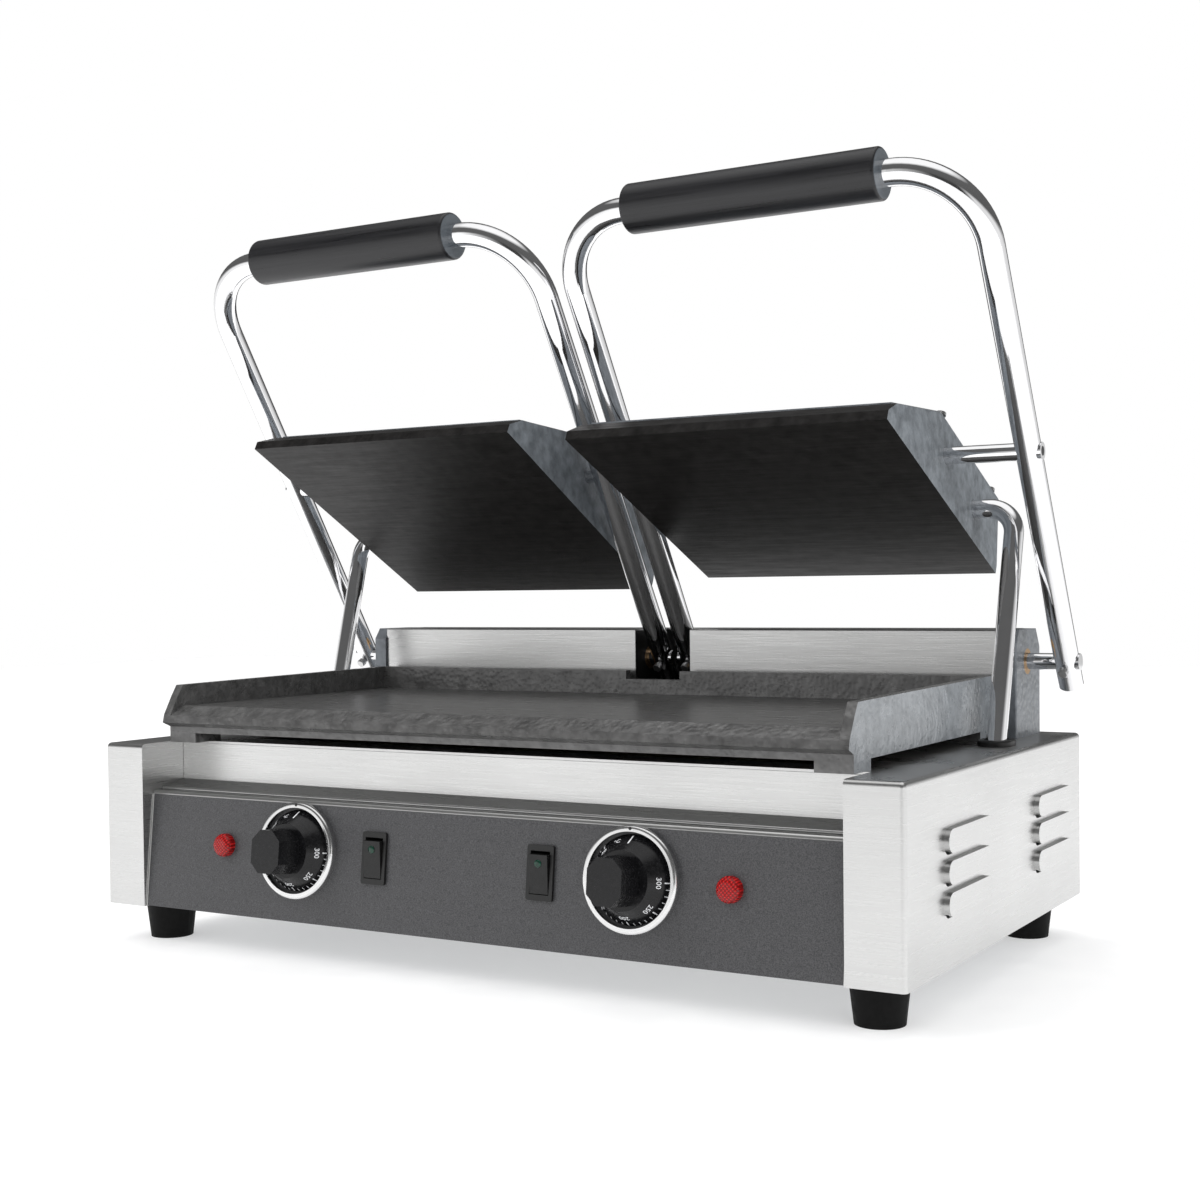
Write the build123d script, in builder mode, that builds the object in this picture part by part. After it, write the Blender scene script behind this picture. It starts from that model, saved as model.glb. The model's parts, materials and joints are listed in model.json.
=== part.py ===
from build123d import *
import os
from math import atan2, cos, degrees, radians, sin

os.makedirs("parts", exist_ok=True)

# Frame: X to the right, Y to the back, Z up, millimetres. The origin lies on the counter, halfway
# across the grill and halfway between the knobs' fronts and the rim of the cable gland behind.

# Housing
bodyWidth = 570.0
bodyDepth = 328.0
bodyBottom = 25.0
bodyTop = 133.5
bodyHeight = bodyTop - bodyBottom
sheet = 1.5
pillarWidth = 34.0
recessDepth = 38.0
shellEdgeRadius = 3.0
frontY = -153.58
backY = frontY + bodyDepth
midY = (frontY + backY) / 2
pillarInnerX = bodyWidth / 2 - pillarWidth
recessY = frontY + recessDepth
fitGap = 0.2
topOpeningWidth = 420.0
topOpeningFront = frontY + 66.0
topOpeningBack = frontY + 228.0

# Side louvres
louvreLength = 74.0
louvreHeight = 13.0
louvreProud = 3.2
louvreSlot = 9.0
louvreRows = (95.5, 78.3, 61.0)
louvreColumns = (frontY + 94.0, frontY + 260.0)

# Bottom and rear sheets
baseTongue = 29.0
ventLength = 44.0
ventWidth = 6.0
ventPitchX = 60.0
ventPitchY = 40.0
ventShift = 34.0

# Feet
footTopRadius = 17.0
footBottomRadius = 14.0
footHeight = bodyBottom
footInsetX = 27.0
footInsetY = 32.0
footSpacingX = bodyWidth - 2 * footInsetX
footSpacingY = bodyDepth - 2 * footInsetY

# Control panel
panelLean = 6.1
panelWidth = 2 * (pillarInnerX - fitGap)
panelBottomY = frontY + 1.6
panelLength = 77.5
panelTopReturn = 6.0
panelBendRadius = 3.0
knobX = 121.4
lampX = 182.8
switchX = 60.6
controlHeight = 45.0

# Knobs and their bezels
bezelRadius = 30.5
bezelInnerRadius = 27.0
bezelHeight = 5.5
skirtRadius = 25.5
skirtTopRadius = 17.0
skirtBase = 1.5
skirtHeight = 12.0
gripWidth = 23.5
gripLength = 28.0
gripCorner = 6.5
knobHeight = 32.0
shaftRadius = 3.0
shaftFit = 0.05
thermostatSize = (38.0, 38.0, 26.0)
thermostatBack = 10.0

# Switches and lamps
switchWidth = 18.0
switchLength = 32.0
switchProud = 2.0
rockerWidth = 12.6
rockerLength = 24.0
rockerTilt = -7.0
switchDepth = 24.0
lampRadius = 7.5
lampProud = 6.5
lampBodyRadius = 6.0
lampDepth = 26.0

# Ledge between the pillars
ledgeFrontY = frontY + 19.6
ledgeFrontZ = 103.4
ledgeBackZ = 107.2
ledgeSheet = 1.2
ledgeBead = 2.0
ledgeBeadRadius = 1.8

# Lower cooking plate
plateInset = 37.2
plateHalfWidth = bodyWidth / 2 - plateInset
plateRimWidth = 6.0
plateLipY = frontY + 16.0
plateFrontY = frontY + 29.3
plateBackY = frontY + 256.7
plateSkirtZ = 140.0
plateTopZ = 171.7
plateRearTopZ = 174.7
surfaceZ = 158.0
slabThickness = 8.0
legWidth = 23.0
legLength = 24.0
skirtSetBack = 7.0
notchHalfWidth = 22.0
notchZ = 168.5

# Heating elements
elementRadius = 4.0
elementBend = 12.0

# Hinge housing
housingOverhang = 3.0
housingHalfWidth = plateHalfWidth + housingOverhang
housingGap = 22.6
housingFrontY = frontY + 265.2
housingBackY = frontY + 316.0
housingTopZ = 204.3
coverSheet = 1.2
bracketThickness = 11.0
centreWall = 5.4

# Handles
pivotY = frontY + 288.0
pivotZ = 183.0
innerArmX = 11.5
outerArmGap = 37.2
outerArmX = housingHalfWidth + outerArmGap
armX = (outerArmX - innerArmX) / 2
handleX = (outerArmX + innerArmX) / 2
handleReach = 338.4
handleBend = 50.0
tubeRadius = 8.0
armTail = 18.0
gripTubeRadius = 15.5
handleGripLength = 167.0
pivotRadius = 5.5
runningFit = 0.08
leftOpenAngle = 57.3
rightOpenAngle = 57.9

# Upper plates
innerPlateGap = 10.5
outerPlateGap = 50.0
upperX = (innerArmX + innerPlateGap + outerArmX - outerPlateGap) / 2
upperHalfWidth = (outerArmX - outerPlateGap - innerArmX - innerPlateGap) / 2
pinReach = 155.0
pinRadius = 5.5
underPin = 30.0
upperFront = -102.5
upperBack = 112.5
upperEdge = 6.0
upperBevelY = 13.0
upperBevelZ = 17.5
upperCrestY = 91.0
upperCrestZ = 54.0
upperBackZ = 55.5
upperWall = 6.0
upperSlab = 14.0
upperDraft = 5.0
leftPlateTilt = 28.4
rightPlateTilt = 23.9

# Conduits
conduitOffset = 16.2
conduitX = plateHalfWidth + conduitOffset
conduitRadius = 6.3
conduitWall = 1.2
conduitBend = 17.0
conduitPinY = 60.0
conduitPinZ = -8.0
conduitY = frontY + 214.0
leftConduitLean = 15.3
rightConduitLean = 16.2
leftConduitLength = 159.5
rightConduitLength = 165.5
collarLength = 28.0
collarWidth = 21.6
collarHeight = 4.0
collarSlotLength = 20.6
collarSlotWidth = 13.8
collarShift = 1.0


def keep(part, name):
    part.label = name
    export_step(part, f"parts/{name}.step")


def turnX(x, y, z, angle):
    return Location((x, y, z), (angle, 0, 0))


# Planes that several pieces share
panelNormal = (0, -cos(radians(panelLean)), sin(radians(panelLean)))
panelPlane = Plane(origin=(0, panelBottomY, bodyBottom + 0.6), x_dir=(1, 0, 0), z_dir=panelNormal)


def onPanel(x, up, out=0.0):
    spot = panelPlane.from_local_coords(Vector(x, up, out))
    return Plane(origin=spot, x_dir=(1, 0, 0), z_dir=panelNormal)


# Folded stainless housing: top, two sides and two front pillars from one sheet
with BuildPart() as bodyShell:
    with BuildSketch(Plane.XY.offset(bodyBottom)):
        with Locations((0, midY)):
            Rectangle(bodyWidth, bodyDepth)
    extrude(amount=bodyHeight)
    fillet(bodyShell.edges().filter_by(Axis.Z).group_by(Axis.Y)[0], shellEdgeRadius)
    fillet(bodyShell.faces().sort_by(Axis.Z)[-1].edges().filter_by(Axis.Y), shellEdgeRadius)
    with BuildSketch(Plane.XY.offset(bodyBottom)):
        for side in (-1, 1):
            with Locations((side * (bodyWidth / 2 - pillarWidth / 2), midY + sheet / 2)):
                Rectangle(pillarWidth - 2 * sheet, bodyDepth - sheet + 0.001)
        with Locations((0, (recessY + backY) / 2)):
            Rectangle(2 * pillarInnerX + 2 * sheet + 0.1, backY - recessY)
    extrude(amount=bodyHeight - sheet, mode=Mode.SUBTRACT)
    with BuildSketch(Plane.XY.offset(bodyBottom)):
        with Locations((0, frontY + recessDepth / 2)):
            Rectangle(2 * pillarInnerX, recessDepth + 0.001)
    extrude(amount=bodyHeight, mode=Mode.SUBTRACT)
    with BuildSketch(Plane.XY.offset(bodyTop - sheet)):
        with Locations((0, (topOpeningFront + topOpeningBack) / 2)):
            Rectangle(topOpeningWidth, topOpeningBack - topOpeningFront)
        with Locations((-conduitX, conduitY + collarShift), (conduitX, conduitY + collarShift)):
            SlotOverall(collarSlotLength + 1.4, collarSlotWidth + 0.8, rotation=90)
    extrude(amount=sheet, mode=Mode.SUBTRACT)
    for side in (-1, 1):
        hoodPlane = Plane(origin=(side * bodyWidth / 2, 0, 0), x_dir=(0, side, 0), z_dir=(side, 0, 0))
        spots = [(side * y, z) for y in louvreColumns for z in louvreRows]
        with BuildSketch(hoodPlane.offset(-sheet)) as hoods:
            with Locations(*spots):
                SlotOverall(louvreLength, louvreHeight)
        extrude(amount=louvreProud + sheet)
        with BuildSketch(hoodPlane.offset(-sheet)):
            with Locations(*[(y, z - sheet) for y, z in spots]):
                SlotOverall(louvreLength - 2 * sheet, louvreHeight)
        extrude(amount=louvreProud, mode=Mode.SUBTRACT)
keep(bodyShell.part, "body_shell")

# Bottom sheet with rows of vent slots
with BuildPart() as basePlate:
    with BuildSketch(Plane.XY.offset(bodyBottom)):
        with Locations((0, (recessY + backY - sheet) / 2)):
            Rectangle(bodyWidth - 2 * sheet - 2 * fitGap, backY - sheet - recessY - 2 * fitGap)
        with Locations((0, recessY - baseTongue / 2 + 1)):
            Rectangle(panelWidth, baseTongue)
        with GridLocations(bodyWidth - pillarWidth, 0, 2, 1):
            with Locations((0, (frontY + recessY) / 2 + sheet)):
                Rectangle(pillarWidth - 2 * sheet - 2 * fitGap, recessDepth)
        with Locations((0, ventShift)):
            with GridLocations(ventPitchX, ventPitchY, 7, 4):
                SlotOverall(ventLength, ventWidth, mode=Mode.SUBTRACT)
    extrude(amount=sheet)
keep(basePlate.part, "base_plate")

# Rear sheet with two vent fields
with BuildPart() as rearCover:
    with BuildSketch(Plane.XZ.offset(-backY)) as rearSketch:
        with Locations((0, bodyBottom + bodyHeight / 2)):
            Rectangle(bodyWidth - 2 * sheet - 2 * fitGap, bodyHeight - 2 * sheet - 2 * fitGap)
        for side in (-1, 1):
            with Locations((side * 150, bodyBottom + bodyHeight / 2)):
                with GridLocations(16, 30, 9, 2):
                    SlotOverall(20, 5, rotation=90, mode=Mode.SUBTRACT)
        with Locations((0, bodyBottom + 40)):
            Circle(9, mode=Mode.SUBTRACT)
    extrude(amount=sheet)
keep(rearCover.part, "rear_cover")

# Leaning control panel, bent back at its top and bottom edges
with BuildPart() as controlPanel:
    with BuildSketch(panelPlane):
        with Locations((0, panelLength / 2)):
            Rectangle(panelWidth, panelLength)
    extrude(amount=-panelTopReturn - sheet)
    topEdge = controlPanel.edges().filter_by(Axis.X).sort_by(Axis.Z)[-2:].sort_by(Axis.Y)[0]
    fillet(topEdge, panelBendRadius)
    with BuildSketch(panelPlane.offset(-sheet)):
        with Locations((0, panelLength / 2)):
            Rectangle(panelWidth + 1, panelLength - 2 * sheet)
    extrude(amount=-panelTopReturn - sheet, mode=Mode.SUBTRACT)
    with BuildSketch(panelPlane):
        with Locations((-knobX, controlHeight), (knobX, controlHeight)):
            Circle(shaftRadius + 2)
        with Locations((-lampX, controlHeight - 0.6), (lampX, controlHeight - 0.6)):
            Circle(lampBodyRadius + fitGap)
        with Locations((-switchX, controlHeight - 0.6), (switchX, controlHeight - 0.6)):
            Rectangle(switchWidth - 2.4, switchLength - 2.4)
    extrude(amount=-sheet, mode=Mode.SUBTRACT)
keep(controlPanel.part, "control_panel")

# Ledge that closes the step between panel and top
with BuildPart() as frontLedge:
    with BuildSketch(Plane.YZ):
        with BuildLine():
            Polyline(
                (recessY + ledgeSheet, bodyTop - sheet - fitGap),
                (recessY, bodyTop - sheet - fitGap),
                (recessY, ledgeBackZ),
                (ledgeFrontY, ledgeFrontZ),
                (ledgeFrontY, ledgeFrontZ - ledgeSheet),
                (recessY + ledgeSheet, ledgeBackZ - ledgeSheet),
                close=True,
            )
        make_face()
        with Locations((ledgeFrontY, ledgeFrontZ - ledgeBead / 2)):
            Circle(ledgeBeadRadius)
    extrude(amount=panelWidth / 2, both=True)
keep(frontLedge.part, "front_ledge")

# Rubber feet with their screws
with BuildPart() as feet:
    with BuildSketch(Plane.XY):
        with Locations((0, midY)):
            with GridLocations(footSpacingX, footSpacingY, 2, 2):
                Circle(footBottomRadius)
    extrude(amount=footHeight, taper=-degrees(atan2(footTopRadius - footBottomRadius, footHeight)))
    with BuildSketch(Plane.XY):
        with Locations((0, midY)):
            with GridLocations(footSpacingX, footSpacingY, 2, 2):
                Circle(5.2)
    extrude(amount=10, mode=Mode.SUBTRACT)
keep(feet.part, "rubber_feet")

# Cast lower plate: tray with raised rims, pouring lip, legs and a notch for the inner arms
with BuildPart() as lowerPlate:
    with BuildSketch(Plane.YZ):
        with BuildLine():
            Polyline(
                (plateLipY + skirtSetBack, plateSkirtZ + 4),
                (plateLipY, plateSkirtZ + 7),
                (plateLipY + 1.5, plateSkirtZ + 12.5),
                (plateLipY + 8.5, plateTopZ - 7.2),
                (plateFrontY, plateTopZ),
                (plateBackY, plateRearTopZ),
                (plateBackY, plateSkirtZ),
                (plateLipY + skirtSetBack, plateSkirtZ),
                close=True,
            )
        make_face()
    extrude(amount=plateHalfWidth, both=True)
    with BuildSketch(Plane.YZ):
        with BuildLine():
            Polyline(
                (plateBackY - plateRimWidth - 1.5, surfaceZ),
                (plateFrontY - 1.3, surfaceZ),
                (plateLipY, plateSkirtZ + 11),
                (plateLipY - 10, plateSkirtZ + 8),
                (plateLipY - 10, plateRearTopZ + 10),
                (plateBackY - plateRimWidth, plateRearTopZ + 10),
                close=True,
            )
        make_face()
    extrude(amount=plateHalfWidth - plateRimWidth, both=True, mode=Mode.SUBTRACT)
    with BuildSketch(Plane.XY.offset(plateSkirtZ)):
        with Locations((0, (plateFrontY + plateBackY) / 2 + 9)):
            Rectangle(2 * plateHalfWidth - 24, plateBackY - plateFrontY - 31)
    extrude(amount=surfaceZ - slabThickness - plateSkirtZ, mode=Mode.SUBTRACT)
    with BuildSketch(Plane.XY.offset(bodyTop)):
        legMidY = (plateLipY + skirtSetBack + plateBackY) / 2
        legSpanY = plateBackY - plateLipY - skirtSetBack - legLength
        with Locations((0, legMidY)):
            with GridLocations(2 * plateHalfWidth - legWidth, legSpanY, 2, 2):
                Rectangle(legWidth, legLength)
    extrude(amount=surfaceZ - slabThickness - bodyTop)
    with BuildSketch(Plane.XY.offset(notchZ)):
        with Locations((0, plateBackY)):
            Rectangle(2 * notchHalfWidth, 4 * plateRimWidth)
    extrude(amount=plateRearTopZ, mode=Mode.SUBTRACT)
keep(lowerPlate.part, "lower_plate")

# One heating circuit under each half of the lower plate: a bent tubular element
elementZ = surfaceZ - slabThickness - elementRadius - 0.3
elementFront = plateFrontY + 30.0
elementBack = plateBackY - 26.0
elementPitch = 46.0
with BuildPart() as lowerElement:
    with BuildLine(Plane.XY.offset(elementZ)) as elementPath:
        FilletPolyline(
            (-2 * elementPitch, elementBack - 30, 0),
            (-2 * elementPitch, elementFront, 0),
            (-elementPitch, elementFront, 0),
            (-elementPitch, elementBack, 0),
            (0, elementBack, 0),
            (0, elementFront, 0),
            (elementPitch, elementFront, 0),
            (elementPitch, elementBack - 30, 0),
            radius=elementBend,
        )
    with BuildSketch(Plane(origin=elementPath.line @ 0, z_dir=elementPath.line % 0)):
        Circle(elementRadius)
    sweep()
    with BuildSketch(Plane.XY.offset(elementZ)):
        with Locations((-2 * elementPitch, elementBack - 30), (elementPitch, elementBack - 30)):
            Circle(elementRadius)
    extrude(amount=-16)
elementShift = 118.0
keep(lowerElement.part.moved(Location((-elementShift + 22, 0, 0))), "left_lower_element")
keep(lowerElement.part.moved(Location((elementShift + 22, 0, 0))), "right_lower_element")

# Mineral wool pad in a steel tray that fills the opening in the top
trayDepth = 22.0
with BuildPart() as heatTray:
    with BuildSketch(Plane.XY.offset(bodyTop - sheet - trayDepth)):
        with Locations((0, (topOpeningFront + topOpeningBack) / 2)):
            Rectangle(topOpeningWidth - 2, topOpeningBack - topOpeningFront - 2)
    extrude(amount=trayDepth)
    with BuildSketch(Plane.XY.offset(bodyTop - 2 * sheet)):
        with Locations((0, (topOpeningFront + topOpeningBack) / 2)):
            Rectangle(topOpeningWidth + 16, topOpeningBack - topOpeningFront + 16)
    extrude(amount=sheet)
    with BuildSketch(Plane.XY.offset(bodyTop - trayDepth)):
        with Locations((0, (topOpeningFront + topOpeningBack) / 2)):
            Rectangle(topOpeningWidth - 5, topOpeningBack - topOpeningFront - 5)
    extrude(amount=trayDepth, mode=Mode.SUBTRACT)
keep(heatTray.part, "heat_tray")

with BuildPart() as lowerInsulation:
    with BuildSketch(Plane.XY.offset(bodyTop - trayDepth + 0.2)):
        with Locations((0, (topOpeningFront + topOpeningBack) / 2)):
            Rectangle(topOpeningWidth - 7, topOpeningBack - topOpeningFront - 7)
    extrude(amount=14)
keep(lowerInsulation.part, "lower_insulation")

# Hinge housing on the rear of the top: two end brackets, a centre bracket and sheet covers
housingMidY = (housingFrontY + housingBackY) / 2
housingDeep = housingBackY - housingFrontY
with BuildPart() as endBracket:
    with BuildSketch(Plane.YZ.offset(housingHalfWidth + 0.1)):
        with BuildLine():
            Polyline(
                (housingFrontY - 2, bodyTop),
                (housingFrontY - 2, housingTopZ - 8),
                (housingFrontY + 4, housingTopZ),
                (housingBackY - 8, housingTopZ),
                (housingBackY, housingTopZ - 12),
                (housingBackY, bodyTop),
                close=True,
            )
        make_face()
        with Locations((pivotY, pivotZ)):
            Circle(pivotRadius + 3, mode=Mode.SUBTRACT)
    extrude(amount=bracketThickness)
    fillet(endBracket.faces().sort_by(Axis.X)[-1].outer_wire().edges().filter_by(Axis.Y, reverse=True), 1.2)
keep(mirror(endBracket.part, about=Plane.YZ), "left_hinge_bracket")
keep(endBracket.part, "right_hinge_bracket")

with BuildPart() as centreBracket:
    with BuildSketch(Plane.XY.offset(bodyTop)):
        with Locations((0, housingMidY)):
            Rectangle(2 * (housingGap + centreWall), housingDeep - 2 * coverSheet - 1)
    extrude(amount=housingTopZ - coverSheet - 0.3 - bodyTop)
    with BuildSketch(Plane.XY.offset(bodyTop + 5)):
        with Locations((0, housingMidY - 4)):
            Rectangle(2 * housingGap, housingDeep)
    extrude(amount=housingTopZ, mode=Mode.SUBTRACT)
    with BuildSketch(Plane.YZ):
        with Locations((pivotY, pivotZ)):
            Circle(pivotRadius + 3)
    extrude(amount=housingGap + 2 * centreWall, both=True, mode=Mode.SUBTRACT)
keep(centreBracket.part, "centre_hinge_bracket")

with BuildPart() as shaftBushes:
    bushStarts = (-housingHalfWidth - 0.1 - bracketThickness, -housingGap - centreWall, housingGap,
                  housingHalfWidth + 0.1)
    bushLengths = (bracketThickness, centreWall, centreWall, bracketThickness)
    for start, length in zip(bushStarts, bushLengths):
        with BuildSketch(Plane.YZ.offset(start)):
            with Locations((pivotY, pivotZ)):
                Circle(pivotRadius + 3)
                Circle(pivotRadius + runningFit, mode=Mode.SUBTRACT)
        extrude(amount=length)
keep(shaftBushes.part, "shaft_bushes")

coverLength = housingHalfWidth - housingGap
with BuildPart() as hingeCover:
    with BuildSketch(Plane.YZ.offset(housingGap)):
        with BuildLine():
            Polyline(
                (housingFrontY, bodyTop),
                (housingFrontY, housingTopZ),
                (housingBackY - coverSheet - 0.2, housingTopZ),
                (housingBackY - coverSheet - 0.2, housingTopZ - coverSheet),
                (housingFrontY + coverSheet, housingTopZ - coverSheet),
                (housingFrontY + coverSheet, bodyTop),
                close=True,
            )
        make_face()
    extrude(amount=coverLength)
    fillet(hingeCover.edges().filter_by(Axis.X).group_by(Axis.Z)[-1].sort_by(Axis.Y)[0], 1.0)
keep(mirror(hingeCover.part, about=Plane.YZ), "left_hinge_cover")
keep(hingeCover.part, "right_hinge_cover")

with BuildPart() as hingeRearCover:
    with BuildSketch(Plane.XZ.offset(-housingBackY)):
        with Locations((0, (bodyTop + housingTopZ) / 2)):
            Rectangle(2 * housingHalfWidth, housingTopZ - bodyTop)
    extrude(amount=coverSheet)
keep(hingeRearCover.part, "hinge_rear_cover")

# Torsion spring round each shaft, its legs against bracket and collar
springRadius = 7.8
springWire = 2.0
springPitch = 3.9
springTurns = 7
with BuildPart() as liftSpring:
    with BuildSketch(Plane.XZ):
        for turn in range(springTurns):
            with Locations((springRadius, turn * springPitch)):
                Circle(springWire)
        with Locations((springRadius, (springTurns - 1) * springPitch / 2)):
            Rectangle(springWire, (springTurns - 1) * springPitch)
    revolve(axis=Axis.Z)
springTurn = Location((0, pivotY, pivotZ), (0, 90, 0))
leftSpringSpot = Location((-110, 0, 0)) * springTurn
rightSpringSpot = Location((80, 0, 0)) * springTurn
keep(liftSpring.part.moved(leftSpringSpot), "left_lift_spring")
keep(liftSpring.part.moved(rightSpringSpot), "right_lift_spring")

# Handles, each built with its pivot at the origin and its arms along -Y
with BuildPart() as handleFrame:
    with BuildLine() as handlePath:
        FilletPolyline(
            (-armX, armTail, 0),
            (-armX, -handleReach, 0),
            (armX, -handleReach, 0),
            (armX, armTail, 0),
            radius=handleBend,
        )
    with BuildSketch(Plane(origin=handlePath.line @ 0, z_dir=handlePath.line % 0)):
        Circle(tubeRadius)
    sweep()
    with BuildSketch(Plane.YZ):
        Circle(pivotRadius)
        with Locations((-pinReach, 0)):
            Circle(pinRadius)
    extrude(amount=armX + tubeRadius + 1, both=True, mode=Mode.SUBTRACT)

with BuildPart() as handleGrip:
    with BuildSketch(Plane.YZ.offset(-handleGripLength / 2)):
        with Locations((-handleReach, 0)):
            Circle(gripTubeRadius)
    extrude(amount=handleGripLength)
    fillet(handleGrip.edges().filter_by(GeomType.CIRCLE), 2.0)
    with BuildSketch(Plane.YZ.offset(-handleGripLength / 2)):
        with Locations((-handleReach, 0)):
            Circle(tubeRadius)
    extrude(amount=handleGripLength, mode=Mode.SUBTRACT)

shaftLength = 2 * armX + 2 * tubeRadius + 1.6
with BuildPart() as handleShaft:
    with BuildSketch(Plane.YZ.offset(-shaftLength / 2)):
        Circle(pivotRadius)
    extrude(amount=shaftLength)


# Pins of the left plate: a long one outside, a short one at the inner arm
pinEnd = upperHalfWidth - 2 * upperWall
plateShift = handleX - upperX
with BuildPart() as platePins:
    with BuildSketch(Plane.YZ.offset(-armX - tubeRadius - 0.6)):
        with Locations((-pinReach, 0)):
            Circle(pinRadius)
    extrude(amount=armX + tubeRadius + 0.6 - pinEnd + plateShift)
    with BuildSketch(Plane.YZ.offset(pinEnd + plateShift)):
        with Locations((-pinReach, 0)):
            Circle(pinRadius)
    extrude(amount=armX + tubeRadius + 0.6 - pinEnd - plateShift)

leftHandleSpot = turnX(-handleX, pivotY, pivotZ, -leftOpenAngle)
rightHandleSpot = turnX(handleX, pivotY, pivotZ, -rightOpenAngle)
handlePieces = ((handleFrame, "handle_frame"), (handleGrip, "grip"), (handleShaft, "pivot_shaft"))
for piece, name in handlePieces:
    keep(piece.part.moved(leftHandleSpot), f"left_{name}")
    keep(piece.part.moved(rightHandleSpot), f"right_{name}")
keep(platePins.part.moved(leftHandleSpot), "left_plate_pins")
keep(mirror(platePins.part, about=Plane.YZ).moved(rightHandleSpot), "right_plate_pins")

# Upper plate casting, built round its pin axis with its underside below; a tray open at the top
crestY = upperFront + upperCrestY
crestZ = upperCrestZ - underPin
backZ = upperBackZ - underPin
bevelY = upperFront + upperBevelY
bevelZ = upperBevelZ - underPin
slope = (crestZ - bevelZ) / (crestY - bevelY)
cavityHalfWidth = upperHalfWidth - upperWall - upperDraft
cavityFront = upperFront + 20.0
with BuildPart() as upperPlate:
    with BuildSketch(Plane.YZ):
        with BuildLine():
            Polyline(
                (upperFront, -underPin),
                (upperFront, upperEdge - underPin),
                (bevelY, bevelZ),
                (crestY, crestZ),
                (upperBack, backZ),
                (upperBack, -underPin),
                close=True,
            )
        make_face()
    extrude(amount=upperHalfWidth, both=True)
    for side in (-1, 1):
        with BuildSketch(Plane.XZ.offset(-upperBack - 1)):
            with BuildLine():
                Polyline(
                    (side * upperHalfWidth, upperEdge - underPin),
                    (side * (upperHalfWidth - upperDraft), backZ + 1),
                    (side * (upperHalfWidth + 1), backZ + 1),
                    close=True,
                )
            make_face()
        extrude(amount=upperBack - upperFront + 2, mode=Mode.SUBTRACT)
    with BuildSketch(Plane.XY.offset(upperSlab - underPin)):
        with Locations((0, (cavityFront + upperBack - upperWall) / 2)):
            Rectangle(2 * cavityHalfWidth, upperBack - upperWall - cavityFront)
    extrude(amount=upperBackZ, mode=Mode.SUBTRACT)
    with BuildSketch(Plane.YZ):
        Circle(pinRadius + runningFit)
    extrude(amount=upperHalfWidth, both=True, mode=Mode.SUBTRACT)
    with BuildSketch(Plane.YZ.offset(-upperHalfWidth)):
        with Locations((conduitPinY, conduitPinZ)):
            Circle(conduitRadius + runningFit)
    extrude(amount=2 * upperWall, mode=Mode.SUBTRACT)
    screwSpots = [(x, y) for x in (-99.5, 99.5) for y in (crestY + 8, upperBack - 10)]
    with BuildSketch(Plane.XY.offset(backZ + 1)):
        with Locations(*screwSpots):
            Circle(1.5)
    extrude(amount=-12, mode=Mode.SUBTRACT)

# Sheet cover over the casting, folded at the crest
coverTopHalf = upperHalfWidth - upperDraft - 1
coverFrontY = bevelY + 3.0
coverLift = 0.1
coverFrontZ = bevelZ + 3.0 * slope
with BuildPart() as upperCover:
    with BuildSketch(Plane.YZ):
        with BuildLine():
            Polyline(
                (coverFrontY, coverFrontZ + coverLift),
                (crestY, crestZ + coverLift),
                (upperBack - 1, backZ + coverLift),
                (upperBack - 1, backZ + coverSheet),
                (crestY - 0.3, crestZ + coverSheet),
                (coverFrontY - 0.3, coverFrontZ + coverSheet),
                close=True,
            )
        make_face()
    extrude(amount=coverTopHalf, both=True)
    with BuildSketch(Plane.XY.offset(backZ + 3)):
        with Locations(*screwSpots):
            Circle(1.7)
    extrude(amount=-6, mode=Mode.SUBTRACT)

with BuildPart() as upperScrews:
    screwTop = backZ + coverSheet + coverLift
    with BuildSketch(Plane.XY.offset(screwTop)):
        with Locations(*screwSpots):
            Circle(3.4)
    extrude(amount=2.0)
    with BuildSketch(Plane.XY.offset(screwTop)):
        with Locations(*screwSpots):
            Circle(1.4)
    extrude(amount=-10)

upperPitch = 42.0
upperElementZ = upperSlab - underPin + elementRadius
elementNear = cavityFront + 14.0
elementFar = upperBack - upperWall - 12.0
with BuildPart() as upperElement:
    with BuildLine(Plane.XY.offset(upperElementZ)) as upperPath:
        FilletPolyline(
            (-1.5 * upperPitch, elementFar - 30, 0),
            (-1.5 * upperPitch, elementNear, 0),
            (-0.5 * upperPitch, elementNear, 0),
            (-0.5 * upperPitch, elementFar, 0),
            (0.5 * upperPitch, elementFar, 0),
            (0.5 * upperPitch, elementNear, 0),
            (1.5 * upperPitch, elementNear, 0),
            (1.5 * upperPitch, elementFar - 30, 0),
            radius=elementBend,
        )
    with BuildSketch(Plane(origin=upperPath.line @ 0, z_dir=upperPath.line % 0)):
        Circle(elementRadius)
    sweep()

padFront = crestY - 6.0
with BuildPart() as upperPad:
    with BuildSketch(Plane.XY.offset(upperElementZ + elementRadius + 0.2)):
        with Locations((0, (padFront + upperBack - upperWall - 4) / 2)):
            Rectangle(2 * cavityHalfWidth - 16, upperBack - upperWall - 4 - padFront)
    extrude(amount=crestZ - upperElementZ - elementRadius - 8)

leftPinY = pivotY - pinReach * cos(radians(leftOpenAngle))
leftPinZ = pivotZ + pinReach * sin(radians(leftOpenAngle))
rightPinY = pivotY - pinReach * cos(radians(rightOpenAngle))
rightPinZ = pivotZ + pinReach * sin(radians(rightOpenAngle))
leftPlateSpot = turnX(-upperX, leftPinY, leftPinZ, -leftPlateTilt)
rightPlateSpot = turnX(upperX, rightPinY, rightPinZ, -rightPlateTilt)
platePieces = (
    (upperPlate, "upper_plate"),
    (upperCover, "upper_cover"),
    (upperScrews, "upper_cover_screws"),
    (upperElement, "upper_element"),
    (upperPad, "upper_insulation"),
)
for piece, name in platePieces:
    keep(piece.part.moved(leftPlateSpot), f"left_{name}")
    keep(mirror(piece.part, about=Plane.YZ).moved(rightPlateSpot), f"right_{name}")

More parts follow.
